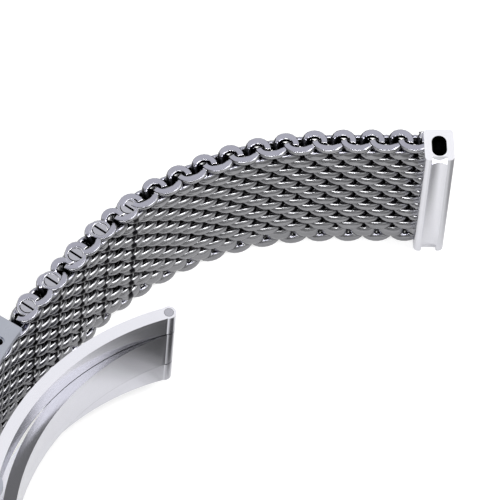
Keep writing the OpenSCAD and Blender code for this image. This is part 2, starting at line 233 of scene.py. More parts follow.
def round_the_clasp():
    """Arc length is the angle about the centre times a radius, and the second number is the distance from
    the centre. The clasp lies left of its centre, so the angle starts there and has no jump inside it."""
    tree, start, end = group("round the clasp",
                             [("Centre", "Vector", None), ("Radius", "Float", BEND_R * MM)],
                             [("Vector", "Vector")])
    place = node(tree, "ShaderNodeTexCoord")
    moved = node(tree, "ShaderNodeVectorMath", {"operation": "SUBTRACT"}, at0=place.outputs["Object"],
                 at1=start.outputs["Centre"])
    parts = node(tree, "ShaderNodeSeparateXYZ", Vector=moved.outputs[0])
    x, y = parts.outputs["X"], parts.outputs["Y"]
    squares = math_node(tree, "ADD", math_node(tree, "MULTIPLY", x, x), math_node(tree, "MULTIPLY", y, y))
    angle = math_node(tree, "ARCTAN2", math_node(tree, "MULTIPLY", y, -1.0),
                      math_node(tree, "MULTIPLY", x, -1.0))
    arc = math_node(tree, "MULTIPLY", angle, start.outputs["Radius"])
    wrapped = node(tree, "ShaderNodeCombineXYZ", X=arc, Y=math_node(tree, "SQRT", squares),
                   Z=parts.outputs["Z"])
    tree.links.new(wrapped.outputs[0], end.inputs["Vector"])
    return tree


ROUND = round_the_clasp()
print("group:", ROUND.name)

# %% [markdown]
# ## Where steel stays dark
# Bores, screw slots and the lines between links lie in shade, and so does wire deep in a mesh: their colour
# is painted dark there as shade. Painting such places would take a picture for each piece. A soft-edged box
# does it for a place that can be measured, and in the mesh each wire carries a number that says how deep a
# point lies.

# %% Dark places
SHARP = 0.01


def deep_shade():
    """1 inside an upright box, 0 outside it: the least distance to its walls, counted in widths of Soft."""
    tree, start, end = group("deep shade", [("Centre", "Vector", None), ("Turn", "Float", 0.0),
                                            ("Half", "Vector", None), ("Soft", "Float", SHARP * MM)],
                             [("Mask", "Float")])
    place = node(tree, "ShaderNodeTexCoord")
    turned = node(tree, "ShaderNodeVectorRotate", {"rotation_type": "Z_AXIS"},
                  Vector=place.outputs["Object"], Center=start.outputs["Centre"], Angle=start.outputs["Turn"])
    away = node(tree, "ShaderNodeVectorMath", {"operation": "SUBTRACT"}, at0=turned.outputs[0],
                at1=start.outputs["Centre"])
    size = node(tree, "ShaderNodeVectorMath", {"operation": "ABSOLUTE"}, at0=away.outputs[0])
    left = node(tree, "ShaderNodeVectorMath", {"operation": "SUBTRACT"}, at0=start.outputs["Half"],
                at1=size.outputs[0])
    parts = node(tree, "ShaderNodeSeparateXYZ", Vector=left.outputs[0])
    least = math_node(tree, "MINIMUM", math_node(tree, "MINIMUM", parts.outputs["X"], parts.outputs["Y"]),
                      parts.outputs["Z"])
    mask = node(tree, "ShaderNodeMapRange", Value=least, From_Min=0.0, From_Max=start.outputs["Soft"])
    tree.links.new(mask.outputs[0], end.inputs["Mask"])
    return tree


def rubbed_clean():
    """The share left without painted shade: 0 on wire deep inside the mesh, 1 near its faces, as a soft step
    over the attribute named shown.
    """
    tree, start, end = group("unshaded share", [("From", "Float", 0.35), ("To", "Float", 0.8)],
                             [("Mask", "Float")])
    shown = node(tree, "ShaderNodeAttribute", {"attribute_name": "shown"})
    unshaded = node(tree, "ShaderNodeMapRange", {"interpolation_type": "SMOOTHSTEP"},
                 Value=shown.outputs["Fac"], From_Min=start.outputs["From"], From_Max=start.outputs["To"])
    tree.links.new(unshaded.outputs[0], end.inputs["Mask"])
    return tree


SHADE, UNSHADED = deep_shade(), rubbed_clean()
print("groups:", SHADE.name, "and", UNSHADED.name)

# %% [markdown]
# ## One finish
# A finish is the colour of the metal with faint stains, and a roughness and small dents from the brushing.
# Painted shade for the dark places is laid over its colour. Rims get a painted highlight: they are found
# where the surface's own direction differs from the one of a surface with rounded rims.

# %% Steel
# The colours of painted shade, in boxes and deep in the mesh, and of the painted highlight on rims.
SHADOW, MESH_SHADE, RIM_HIGHLIGHT = (0.012, 0.012, 0.014), (0.01, 0.01, 0.012), (0.97, 0.97, 1.0)
SCRATCH_DEPTH = 0.02
RIM_FROM, RIM_TO, RIM_SAMPLES = 1.0, 0.9, 6


def steel(name, colour, rough, spread, bump, fine=6000.0, length=0.03, round_clasp=False, turned=(0, 0, 0),
          stain=0.25, darker=0.7, holes=(), cut=SHADOW, woven=False, rim_radius=0.0):
    """Roughness is rough, give or take spread. Stains mix in the colour times darker, by the share stain.
    Each box of painted shade is given as centre, turn, half size and softness, and takes the shade's colour.
    A woven wire is painted with shade deep inside the mesh. Rims are shaded as rounded over the given radius,
    and get a painted highlight there."""
    material = bpy.data.materials.new(name)
    material.use_nodes = True
    tree = material.node_tree
    tree.nodes.clear()
    if round_clasp:
        vector = node(tree, "ShaderNodeGroup", {"node_tree": ROUND}, Centre=CLASP_CENTRE).outputs["Vector"]
    else:
        place = node(tree, "ShaderNodeTexCoord")
        vector = node(tree, "ShaderNodeMapping", Vector=place.outputs["Object"], Rotation=turned).outputs[0]
    lines = node(tree, "ShaderNodeGroup", {"node_tree": BRUSHED}, Vector=vector, Fine=fine, Length=length)
    cloud = node(tree, "ShaderNodeGroup", {"node_tree": STAINS}, Vector=vector)
    stained = math_node(tree, "MULTIPLY", cloud.outputs["Mask"], stain)
    shown = colour_mix(tree, stained, (*colour, 1), (*(c * darker for c in colour), 1))
    # Boxes of painted shade: bores, screw slots and seats, hinge lines and the tongue's sides.
    for centre, turn, half, soft in holes:
        mask = node(tree, "ShaderNodeGroup", {"node_tree": SHADE}, Centre=centre, Turn=turn, Half=half,
                    Soft=soft)
        shown = colour_mix(tree, mask.outputs["Mask"], shown, (*cut, 1))
    # Painted shade on wire deep inside the mesh.
    if woven:
        unshaded = node(tree, "ShaderNodeGroup", {"node_tree": UNSHADED})
        shown = colour_mix(tree, unshaded.outputs["Mask"], (*MESH_SHADE, 1), shown)
    lifted = node(tree, "ShaderNodeBump", Height=lines.outputs["Height"], Strength=bump,
                  Distance=SCRATCH_DEPTH * MM)
    # Painted highlight where the rims are rounded.
    if rim_radius:
        rounded = node(tree, "ShaderNodeBevel", {"samples": RIM_SAMPLES}, Radius=rim_radius).outputs[0]
        tree.links.new(rounded, lifted.inputs["Normal"])
        own = node(tree, "ShaderNodeNewGeometry").outputs["Normal"]
        alike = node(tree, "ShaderNodeVectorMath", {"operation": "DOT_PRODUCT"}, at0=rounded, at1=own)
        rim = node(tree, "ShaderNodeMapRange", {"interpolation_type": "SMOOTHSTEP"},
                   Value=alike.outputs["Value"], From_Min=RIM_FROM, From_Max=RIM_TO)
        shown = colour_mix(tree, rim.outputs[0], shown, (*RIM_HIGHLIGHT, 1))
    uneven = node(tree, "ShaderNodeMath", {"operation": "MULTIPLY_ADD"}, at0=lines.outputs["Rough"],
                  at1=spread, at2=rough)
    shader = node(tree, "ShaderNodeBsdfPrincipled", Base_Color=shown, Metallic=1.0,
                  Roughness=uneven.outputs[0], Normal=lifted.outputs[0])
    out = node(tree, "ShaderNodeOutputMaterial")
    tree.links.new(shader.outputs[0], out.inputs["Surface"])
    return material


# %% [markdown]
# ## The finishes of the solid pieces
# The clasp's cover is the darkest, brushed plate. The leaves and end pieces are paler, and smooth enough to
# mirror the table. The tongue is cut out from between the rails, and its two narrow sides, in the seams
# beside them, are painted grey as shade. In an end piece, the oval mouth and the bore behind it are painted
# dark as shade.

# %% Finishes
MOUTH_HALF = (1.03, 1.63, 10.9)
LOWER_BORE, LOWER_BORE_TURN = (-9.063, -84.081), -19.6
TONGUE_MIDDLE, TONGUE_SIDE = (-36.0, -45.0), 3.65
TONGUE_BOX, SEAM_SHADE = (60.0, 60.0, 0.04), (0.13, 0.13, 0.14)


def box_at(centre, half, turn=0.0, soft=SHARP):
    """A dark box for a finish, from millimetres and degrees."""
    return tuple(v * MM for v in centre), math.radians(turn), tuple(v * MM for v in half), soft * MM


def leaf_steel(name, **more):
    """The pale satin of both leaves."""
    return steel(name, (0.82, 0.82, 0.88), 0.18, spread=0.04, bump=0.05, fine=8000, length=0.012,
                 round_clasp=True, stain=0.15, darker=0.85, **more)


GROUND = steel("ground edge", (0.4, 0.4, 0.47), 0.18, spread=0.03, bump=0.05, fine=9000, length=0.02,
               stain=0.3, darker=0.75, rim_radius=0.2 * MM)
SPRING = steel("spring wire", (0.4, 0.4, 0.42), 0.25, spread=0.04, bump=0.05)
COVER = steel("brushed cover", (0.42, 0.44, 0.5), 0.3, spread=0.05, bump=0.12, fine=7000, length=0.015,
              round_clasp=True, stain=0.2, darker=0.8)
LEAF = leaf_steel("satin leaf")
# The tongue's two narrow sides, in the seams beside the rails, are painted grey as shade.
TONGUE = leaf_steel("tongue leaf", cut=SEAM_SHADE,
                    holes=[box_at((*TONGUE_MIDDLE, side * TONGUE_SIDE), TONGUE_BOX) for side in (-1, 1)])
# The oval mouth and the bore behind it in each end piece are painted dark as shade.
END = steel("satin end piece", (0.9, 0.9, 0.95), 0.22, spread=0.04, bump=0.06, fine=8000, length=0.02,
            turned=(0, math.radians(90), 0), stain=0.15, darker=0.85,
            holes=[box_at((0.0, 0.0, 0.0), MOUTH_HALF),
                   box_at((*LOWER_BORE, 0.0), MOUTH_HALF, LOWER_BORE_TURN)])
print("finishes:", [m.name for m in (GROUND, SPRING, COVER, LEAF, TONGUE, END)])

# %% [markdown]
# ## Screw heads
# Ten screws hold the links, and each has a slot that is nearly black, with shade in the seat round it. Both
# lie below the level of the head's face, so one flat box at each screw paints them dark as shade and leaves
# the face alone.

# %% Screw heads
SEAT_MIDDLE, SEAT_HALF = 10.4, (1.2, 1.2, 0.52)
SCREWS = 5


def turned_steel(name, **more):
    """The finish of small pieces from the lathe."""
    return steel(name, (0.45, 0.45, 0.5), 0.26, spread=0.04, bump=0.06, fine=9000, length=0.03, stain=0.2,
                 **more)


def screw_joint(half, i):
    """The joint that turns on a screw. The one next to the woven part is numbered with the mesh."""
    if half == "upper":
        return f"upper_link_{i - 1}_turn" if i > 1 else "upper_mesh_6_turn"
    return f"lower_link_{i}_turn" if i < SCREWS else "lower_mesh_5_turn"


SCREW = turned_steel("turned screw head")
HEADS = {}
for half in ("upper", "lower"):
    for i in range(1, SCREWS + 1):
        # Painted shade in the slot and the seat round the head.
        seat = box_at((*joint_at(screw_joint(half, i)), SEAT_MIDDLE), SEAT_HALF)
        HEADS[f"{half}_screw_{i}"] = turned_steel(f"head of {half}_screw_{i}", holes=[seat])
print("screw heads:", len(HEADS))

# %% [markdown]
# ## Dress the solids
# The solid pieces keep their own shape, and only get a finish. Each one's name says what it is, so the
# finish, and a word for its kind of steel, are found from the name.

# %% Dress the solids
def finish_of(name):
    """The finish and the slot of a measured solid, from what its name says it is. Woven ones have none."""
    if "end_piece" in name:
        return END, "end_piece_steel"
    if any(word in name for word in ("screw", "tip", "sleeve", "pin")):
        return HEADS.get(name, SCREW), "screw_steel"
    if "spring" in name:
        return SPRING, "spring_steel"
    if "cover" in name:
        return COVER, "brushed_steel"
    if "leaf" in name:
        return TONGUE if "tongue" in name else LEAF, "leaf_steel"
    return None


dressed = [name for name in nodes if finish_of(name)]
for name in dressed:
    material, slot = finish_of(name)
    for place in nodes[name].material_slots:
        place.material = material
print("dressed solids:", len(dressed))

# %% [markdown]
# ## The band's middle line
# The measured joints give the corners between one stiff piece and the next. A real mesh bends evenly, so the
# line that the wires follow is a curve that touches the middle of each stiff piece and rounds every corner.

# %% Middle line
UPPER_JOINTS = (["upper_end_piece_flex"] + numbered("upper_mesh_{}_flex", range(1, 6))
                + ["upper_mesh_6_turn"] + numbered("upper_link_{}_turn", range(1, SCREWS)))
LOWER_JOINTS = (numbered("lower_link_{}_turn", range(1, SCREWS)) + ["lower_mesh_5_turn"]
                + numbered("lower_mesh_{}_flex", range(4, 0, -1)) + ["lower_end_piece_flex"])
ARC_POINTS, END_POINTS = 25, 20
SHORT_OF, NO_STEP = 0.02, 1e-9


class Line:
    """A smooth curve in the plane of the band, read by length from its first corner."""

    def __init__(self, corners):
        """Each corner is rounded by a parabola from the middle of one side to the middle of the next. Both
        ends stop a little short of a middle and go on straight, past the first corner and past the last."""
        middles = (corners[1:] + corners[:-1]) / 2
        t = np.linspace(0, 1, ARC_POINTS)[:, None]
        rounded = [(1 - t) ** 2 * a + 2 * t * (1 - t) * c + t * t * b
                   for a, c, b in zip(middles[:-1], corners[1:-1], middles[1:])]
        first = corners[0] + (middles[0] - corners[0]) * np.linspace(-1, 1 - SHORT_OF, END_POINTS)[:, None]
        last = middles[-1] + (corners[-1] - middles[-1]) * np.linspace(SHORT_OF, 2, END_POINTS)[:, None]
        points = np.concatenate([first] + [r[:-1] for r in rounded] + [rounded[-1][-1:], last])
        steps = np.linalg.norm(np.diff(points, axis=0), axis=1)
        points = points[np.concatenate([[True], steps > NO_STEP])]
        length = np.concatenate([[0], np.cumsum(np.linalg.norm(np.diff(points, axis=0), axis=1))])
        self.points = points
        self.length = length - length[np.argmin(np.linalg.norm(points - corners[0], axis=1))]
        tangent = np.gradient(points, length, axis=0)
        self.heading = np.unwrap(np.arctan2(tangent[:, 1], tangent[:, 0]))
        self.corner_lengths = np.array([self.length_of(c) for c in corners])
        self.middle_lengths = np.array([self.length_of(m) for m in middles])

    def length_of(self, point):
        """The length at which the curve passes nearest to a point."""
        return float(self.length[np.argmin(np.linalg.norm(self.points - point, axis=1))])

    def place(self, s, inward, z):
        """Points at length s, offset towards the wrist by inward, at height z; all arrays of one shape."""
        x, y = (np.interp(s, self.length, self.points[:, k]) for k in (0, 1))
        turn = np.interp(s, self.length, self.heading)
        return np.stack([x - inward * np.sin(turn), y + inward * np.cos(turn), z], axis=-1)


upper_corners = np.array([joint_at(name) for name in UPPER_JOINTS])
lower_corners = np.array([joint_at(name) for name in LOWER_JOINTS])
upper, lower = Line(upper_corners), Line(lower_corners)
MESH_SCREW, COVER_SCREW = UPPER_JOINTS.index("upper_mesh_6_turn"), len(UPPER_JOINTS) - 1
LOWER_SCREW = LOWER_JOINTS.index("lower_mesh_5_turn")
print("upper band:", round(upper.corner_lengths[-1], 1), "mm")
print("lower band:", round(lower.corner_lengths[-1], 1), "mm")

# %% [markdown]
# ## A tube along a path
# Every wire is a circle carried along a path. The circle is kept square to the path with a guide direction
# that is never parallel to it, so the tube doesn't twist, and both ends are closed by one face.

# %% Tube
SHARP_ANGLE = math.radians(40)


def add_piece(name, points, faces, materials):
    """A mesh object at the origin from point and face arrays, with sharp edges where faces meet too steeply.
    A fourth number of each point is kept as the attribute shown: 0 deep inside the mesh, 1 at its faces."""
    mesh = bpy.data.meshes.new(name)
    points = np.asarray(points, float)
    mesh.from_pydata(points[:, :3] * MM, [], [tuple(map(int, f)) for f in faces])
    if points.shape[1] == 4:
        shown = mesh.attributes.new("shown", "FLOAT", "POINT")
        shown.data.foreach_set("value", points[:, 3].astype(np.float32))
    for material in materials:
        mesh.materials.append(material)
    mesh.polygons.foreach_set("use_smooth", np.full(len(mesh.polygons), True))
    mesh.set_sharp_from_angle(angle=SHARP_ANGLE)
    mesh.update()
    made = bpy.data.objects.new(name, mesh)
    bpy.context.scene.collection.objects.link(made)
    return made


def tube(path, guide, across, upright, sides):
    """Oval rings round each path point, across wide in the guide's direction and upright high square to it.
    Direction one is the guide made square to the path, direction two is square to both."""
    along = np.gradient(path, axis=0)
    along /= np.linalg.norm(along, axis=1)[:, None]
    one = guide - (guide * along).sum(1)[:, None] * along
    one /= np.linalg.norm(one, axis=1)[:, None]
    two = np.cross(along, one)
    angle = np.linspace(0, 2 * np.pi, sides, endpoint=False)
    across, upright = (np.broadcast_to(r, len(path))[:, None, None] for r in (across, upright))
    rings = path[:, None] + (across * np.cos(angle)[None, :, None] * one[:, None]
                             + upright * np.sin(angle)[None, :, None] * two[:, None])
    count = len(path)
    i, j = np.meshgrid(np.arange(count - 1), np.arange(sides), indexing="ij")
    k = (j + 1) % sides
    here, ahead = i * sides, (i + 1) * sides
    quads = np.stack([here + j, here + k, ahead + k, ahead + j], -1).reshape(-1, 4)
    caps = [tuple(range(sides))[::-1], tuple((count - 1) * sides + q for q in range(sides))]
    return rings.reshape(-1, 3), [tuple(q) for q in quads] + caps


def joined(parts):
    """Several point and face lists as one."""
    points, faces, offset = [], [], 0
    for p, f in parts:
        points.append(p)
        faces += [tuple(int(v) + offset for v in face) for face in f]
        offset += len(p)
    return np.concatenate(points), faces


# %% [markdown]
# ## One spiral of wire
# A spiral is a flattened helix. Most of its rise happens in the tight turns, so the strands lie nearly along
# the band, as in the photograph. At both edges the last half turn is bent flat: every other spiral ends in
# an arch on the outer side, the ones between end on the wrist side. Both are ground level with the edge, and
# tumbling has left the rim of that flat slightly round.

# %% Spiral
WIRE_R = 0.5
SPIRAL_A, SPIRAL_B = 1.85, 1.24
EDGE_Z = 10.75
TURNS, STEPS, SIDES = 7, 22, 16
IN_TURNS = 0.8
OVERLAP = 0.3
ARCH_SUNK, SOFT_EDGE = 0.03, 0.08
ROLLED, EDGE_ROLLED = 0.18, 0.22
NARROWER, LESS_NARROW = 0.3, 0.15
PACKED = 0.9


def spiral(line, centre, outer_end, a=SPIRAL_A, b=SPIRAL_B, low=-EDGE_Z, high=EDGE_Z, turns=TURNS,
           radius=WIRE_R, ground=HALF_WIDTH, least=-np.inf, most=np.inf):
    """The path at angle f is: along = -a cos f, inward = b sin f, and height rises by one pitch a turn, with
    the share IN_TURNS of it moved to the turns. It starts and ends in the middle of a strand, and runs on
    level by a quarter turn past both. An arch on the outer side runs on by OVERLAP more and is narrower than
    the rest by the share NARROWER, by LESS_NARROW less in its inner leg at the lower edge. The wire is also
    PACKED higher in the turns there. The mesh was rolled, so each strand is ROLLED higher in its middle than
    in the turns, and by EDGE_ROLLED more at the edges. The ground level is approached as the logarithm of
    one plus an exponential, which rounds the rim of the flat. Nothing reaches past the lengths least and
    most."""
    pitch = (high - low) / turns
    last = 1.5 * np.pi if outer_end else 0.5 * np.pi
    past = 0.5 * np.pi + (OVERLAP if outer_end else 0.0)
    span = np.linspace(-past, 2 * np.pi * turns + past, int(STEPS * (turns + 0.5)))
    f = last + span - 2 * np.pi * turns
    rise = pitch / (2 * np.pi) * (span + IN_TURNS / 2 * (np.sin(2 * f) - np.sin(2 * last)))
    z = np.clip(rise, 0, high - low) + low
    nearest = np.minimum(span, 2 * np.pi * turns - span)
    wide = a * np.ones_like(f)
    if outer_end:
        ease = np.clip((np.pi - nearest) / (np.pi / 2), 0, 1)
        narrow = NARROWER - LESS_NARROW * np.clip(span / (np.pi / 2), 0, 1) * (span < np.pi * turns)
        wide = a * (1 - narrow * ease * ease * (3 - 2 * ease))
    s = np.clip(centre - wide * np.cos(f), least, most)
    path = line.place(s, b * np.sin(f), z)
    outward = line.place(centre - 2 * wide * np.cos(f), 2 * b * np.sin(f), z) - line.place(
        np.full_like(f, centre), np.zeros_like(f), z)
    rolled = ROLLED + EDGE_ROLLED * np.clip((2.5 * np.pi - nearest) / np.pi, 0, 1)
    strand = np.abs(np.sin(f)) ** 3
    packed = PACKED * np.clip(2 - span / np.pi, 0, 1) * (1 - strand) if outer_end else 0.0
    points, faces = tube(path, outward, radius, radius + rolled * strand + packed, SIDES)
    level = ground - (ARCH_SUNK if outer_end else 0.0)
    over = (np.abs(points[:, 2]) - level) / SOFT_EDGE
    points[:, 2] = np.sign(points[:, 2]) * (level - SOFT_EDGE * np.logaddexp(0, -over))
    middle, inner = line.place(s, np.zeros_like(s), z), line.place(s, np.ones_like(s), z)
    off = points - np.repeat(middle, SIDES, axis=0)
    depth = np.abs((off * np.repeat(inner - middle, SIDES, axis=0))[:, :2].sum(1)) / (b + radius)
    return np.column_stack([points, depth]), faces


# %% [markdown]
# ## The wire's finish
# The wire is drawn, so its lines are faint. Shade is painted on the wire deep inside the mesh, and as a dark
# line across the band where two screwed pieces meet.

# %% Wire finish
HINGE_HALF, HINGE_SOFT = (0.5, 3.0, 9.9), 0.2


def hinge_grime(screw, along):
    """The painted shade in the line where two links meet: a thin box across the band, at the screw."""
    turn = math.degrees(math.atan2(along[1], along[0]))
    return box_at((*screw, 0.0), HINGE_HALF, -turn, HINGE_SOFT)


def wire_finish(name, hinges):
    """Drawn wire with painted shade deep in the mesh and at its hinges, each given as a corner and the next
    one.
    """
    return steel(name, (0.36, 0.36, 0.375), 0.2, spread=0.04, bump=0.06, fine=5000, length=0.05, stain=0.35,
                 darker=0.75, holes=[hinge_grime(a, b - a) for a, b in hinges], woven=True)


WIRE = wire_finish("drawn wire", [upper_corners[[MESH_SCREW, MESH_SCREW + 1]],
                                  upper_corners[[COVER_SCREW, COVER_SCREW - 1]],
                                  lower_corners[[LOWER_SCREW, LOWER_SCREW - 1]]])
print("finish:", WIRE.name)

# %% [markdown]
# ## The mesh
# Spirals stand 1.9 mm apart, so each one reaches the middle of its neighbours. They are grouped between the
# middles of two stiff pieces. The first spiral of each half is buried in its end piece, and the last one is
# stretched to go round the shank of the first screw.

# %% One group of spirals
GROUND_LEVEL, GROUND_FROM = 0.9, 9.5


def paint_ground(made):
    """Faces that lie level at the two edges were ground: they get the ground finish."""
    mesh = made.data
    normal = np.zeros(len(mesh.polygons) * 3)
    centre = np.zeros(len(mesh.polygons) * 3)
    mesh.polygons.foreach_get("normal", normal)
    mesh.polygons.foreach_get("center", centre)
    level = np.abs(normal.reshape(-1, 3)[:, 2]) > GROUND_LEVEL
    at_edge = np.abs(centre.reshape(-1, 3)[:, 2]) > GROUND_FROM * MM
    mesh.polygons.foreach_set("material_index", (level & at_edge).astype(np.int32))
    mesh.update()


def weave(name, line, spirals, first_body, second_body, start, end, replaced):
    """One group of spirals, from length start to length end of its line. A group within one body hangs on it;
    one between two bodies is left where it is.
    """
    points, faces = joined([spiral(line, **one) for one in spirals])
    made = add_piece(name, points, faces, [WIRE, GROUND])
    paint_ground(made)
    if second_body:
        a, b = (line.place(np.array([s]), np.zeros(1), np.zeros(1))[0] * MM for s in (start, end))
        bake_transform(made)
    else:
        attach(made, first_body)
    if replaced:
        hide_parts(*replaced)


# %% Weave both halves
FIRST_ARCH, PITCH, BURIED = 2.75, 3.8, 0.45
LAST_REACH, LAST_SHIFT = 1.93, 0.2
UPPER_ROWS, LOWER_ROWS = 11, 9
PAST_END, UPPER_LAST = 3.0, 45.0
UPPER_CHAIN = ["upper_end_piece"] + numbered("upper_mesh_{}", range(1, 7)) + ["upper_mesh_6"]
LOWER_CHAIN = ["lower_mesh_5"] + numbered("lower_mesh_{}", range(5, 0, -1)) + ["lower_end_piece"]
woven = set()


def mesh_spirals(rows, end_at, way):
    """Spirals of one half, half a pitch apart, from the end piece at length end_at; way is 1 where the line
    leaves the end piece. Every other one ends outside, and the last is stretched round a screw's shank."""
    made = []
    for k in range(-1, 2 * rows):
        distance = FIRST_ARCH + PITCH / 2 * (k - 1)
        one = {"centre": end_at + way * distance, "outer_end": k % 2 == 1}
        if k == 2 * rows - 1:
            one["centre"] += way * LAST_SHIFT
            one["a"] = LAST_REACH
        one["least" if way > 0 else "most"] = end_at - way * BURIED
        made.append(one)
    return made


def weave_half(name, line, bodies, cuts, spirals):
    """Groups of spirals between the middles of stiff pieces; bodies[k] holds the stretch round cuts[k]."""
    for k in range(len(cuts) - 1):
        here = [one for one in spirals if cuts[k] <= one["centre"] < cuts[k + 1]]
        if here:
            first, second = bodies[k], bodies[k + 1]
            replaced = [b for b in (first, second) if "mesh" in b and b not in woven]
            woven.update(replaced)
            weave(f"{name}_{k + 1}", line, here, first, None if first == second else second, cuts[k],
                  cuts[k + 1], replaced)
            print(name, k + 1, "spirals:", len(here))


upper_cuts = [-PAST_END] + [float(m) for m in upper.middle_lengths[:MESH_SCREW]] + [UPPER_LAST]
weave_half("upper_weave", upper, UPPER_CHAIN, upper_cuts, mesh_spirals(UPPER_ROWS, 0.0, 1))
lower_start, lower_end = (float(lower.corner_lengths[k]) for k in (LOWER_SCREW, -1))
lower_middles = [float(m) for m in lower.middle_lengths[LOWER_SCREW:]]
lower_cuts = [lower_start - PAST_END] + lower_middles + [lower_end + PAST_END]
weave_half("lower_weave", lower, LOWER_CHAIN, lower_cuts, mesh_spirals(LOWER_ROWS, lower_end, -1))

# %% [markdown]
# ## Screwed links
# A link is three spirals of slightly thinner wire. The loops of its first and last spiral go round the two
# screws and take turns with the loops of the next link, which gives the dark jagged lines between links.
# The screw heads sit in round seats cut into the ground loops, and a thin collar lines each seat. The lower
# link at the clasp is open in its middle, for the eye of the tongue, and a short spiral closes that gap.

# %% Seats and collars
SEAT_R, SEAT_FLOOR, ON_AXIS = 1.0, 10.0, 0.05
COLLAR = [(1.0, 10.1), (1.0, 10.86), (1.08, 10.94), (1.4, 10.94), (1.5, 10.84), (1.5, 10.1)]
COLLAR_STEPS = 48


def cut_seats(points, screws):
    """Points above a seat's floor and inside its radius move out to its wall, as if a cutter had passed."""
    for screw in screws:
        across = points[:, :2] - screw
        reach = np.linalg.norm(across, axis=1)
        inside = (reach < SEAT_R) & (points[:, 2] > SEAT_FLOOR)
        points[inside, :2] = screw + across[inside] * (SEAT_R / np.maximum(reach[inside], ON_AXIS))[:, None]
    return points


def collar(screw):
    """A ring round a screw head: a section of radius and height carried once round the seat, and closed."""
    section = np.array(COLLAR)
    angle = np.linspace(0, 2 * np.pi, COLLAR_STEPS, endpoint=False)
    ring = np.stack([screw[0] + section[None, :, 0] * np.cos(angle)[:, None],
                     screw[1] + section[None, :, 0] * np.sin(angle)[:, None],
                     np.broadcast_to(section[None, :, 1], (COLLAR_STEPS, len(section)))], -1)
    i, j = np.meshgrid(np.arange(COLLAR_STEPS), np.arange(len(section)), indexing="ij")
    n, m = (i + 1) % COLLAR_STEPS, (j + 1) % len(section)
    w = len(section)
    ring = np.column_stack([ring.reshape(-1, 3), np.ones(ring.size // 3)])
    return ring, np.stack([i * w + j, i * w + m, n * w + m, n * w + j], -1).reshape(-1, 4).tolist()


def wires_on(body, name, parts, seats, lined, finish):
    """Joins the wires of one stiff piece, cuts its seats, puts a collar into the one at the screw lined, and
    hangs the piece on its body."""
    points, faces = joined(parts)
    points = cut_seats(points, seats)
    points, faces = joined([(points, faces), collar(lined)])
    made = add_piece(name, points, faces, [finish, GROUND])
    paint_ground(made)
    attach(made, body)
    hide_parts(body)
    return made


# %% Links
LINK_WIRE = 0.475
LINK_CENTRES, LINK_REACH = (0.56, 2.55, 4.54), (1.64, 1.7, 1.64)
EYE_EDGE, SHORT_EDGE, SHORT_TURNS = 4.6, 2.4, 2
SHORT_CENTRE, SHORT_REACH = 3.35, 0.95


def link(name, start, end, first_outer, skip_eye=False):
    """A link between two screws. With skip_eye, its first two spirals leave room for the tongue's eye."""
    line = Line(np.array([start, (start + end) / 2, end]))
    wire = wire_finish(f"wire of {name}", [(start, end), (end, start)])
    parts = []
    for n, (centre, reach) in enumerate(zip(LINK_CENTRES, LINK_REACH)):
        outer = first_outer if n != 1 else not first_outer
        shape = {"centre": centre, "outer_end": outer, "a": reach, "radius": LINK_WIRE}
        if skip_eye and n < 2:
            parts.append(spiral(line, **shape, low=EYE_EDGE, turns=SHORT_TURNS))
            parts.append(spiral(line, **shape, high=-EYE_EDGE, turns=SHORT_TURNS))
        else:
            parts.append(spiral(line, **shape))
        if skip_eye and n == 1:
            shape.update(centre=SHORT_CENTRE, a=SHORT_REACH, outer_end=not outer)
            parts.append(spiral(line, **shape, low=-SHORT_EDGE, high=SHORT_EDGE, turns=SHORT_TURNS))
    return wires_on(name, f"{name}_wires", parts, (start, end), start, wire)


links = []
for i in range(1, SCREWS):
    start, end = upper_corners[MESH_SCREW + i - 1], upper_corners[MESH_SCREW + i]
    links.append(link(f"upper_link_{i}", start, end, first_outer=i % 2 == 0))
    start, end = lower_corners[i - 1], lower_corners[i]
    links.append(link(f"lower_link_{i}", start, end, first_outer=i % 2 == 1, skip_eye=i == 1))
print("links:", len(links))

# %% [markdown]
# ## The end that slides in the cover
# Past the last screw the mesh goes on inside the clasp's cover, a little narrower, to the sprung bar that
# holds it. Its last spiral is wound from thinner wire and goes round the bar's sleeve, and the one before it
# is short, so that it hooks into the last one and still clears the sleeve.

# %% Adjuster mesh
CLASP_R, CLASP_START, CURVE_LENGTH = 37.2, 145, 18
TANG_REACH, BAR_ARC = 3.25, 15.7
BAR_AT = TANG_REACH + BAR_ARC
TANG_SECOND, TANG_COUNT, TANG_Z = 2.46, 8, 9.65
TANG_SHAPE = {"low": -9.4, "high": 9.4, "turns": 6, "ground": TANG_Z}
BEFORE_BAR = {"a": 1.245, **TANG_SHAPE}
ROUND_BAR = {"a": 1.85, "b": 1.37, "radius": 0.36, **TANG_SHAPE}
BEFORE_BACK, ROUND_BACK = 2.665, 0.45


def on_clasp(radius, arc):
    """A point of the closed clasp, by radius and by length along the band's middle line."""
    angle = math.radians(CLASP_START) + arc / CLASP_R
    return np.array([CLASP_X + radius * math.cos(angle), CLASP_Y + radius * math.sin(angle)])


def adjuster_mesh():
    """The first spiral is as wide as the links, the others fit between the cover's side walls."""
    pivot = upper_corners[COVER_SCREW]
    curve = [on_clasp(CLASP_R, arc) for arc in np.arange(0, CURVE_LENGTH, PITCH / 2)]
    line = Line(np.array([pivot] + curve))
    parts = [spiral(line, LINK_CENTRES[0], False, a=LINK_REACH[0], radius=LINK_WIRE)]
    step = (BAR_AT - TANG_SECOND) / TANG_COUNT
    for k in range(TANG_COUNT - 1):
        parts.append(spiral(line, TANG_SECOND + k * step, k % 2 == 1, **TANG_SHAPE))
    parts.append(spiral(line, BAR_AT - BEFORE_BACK, True, **BEFORE_BAR))
    parts.append(spiral(line, BAR_AT - ROUND_BACK, False, **ROUND_BAR))
    return wires_on("adjuster_tang", "adjuster_wires", parts, (pivot,), pivot, WIRE)


adjuster = adjuster_mesh()
print("adjuster faces:", len(adjuster.data.polygons))

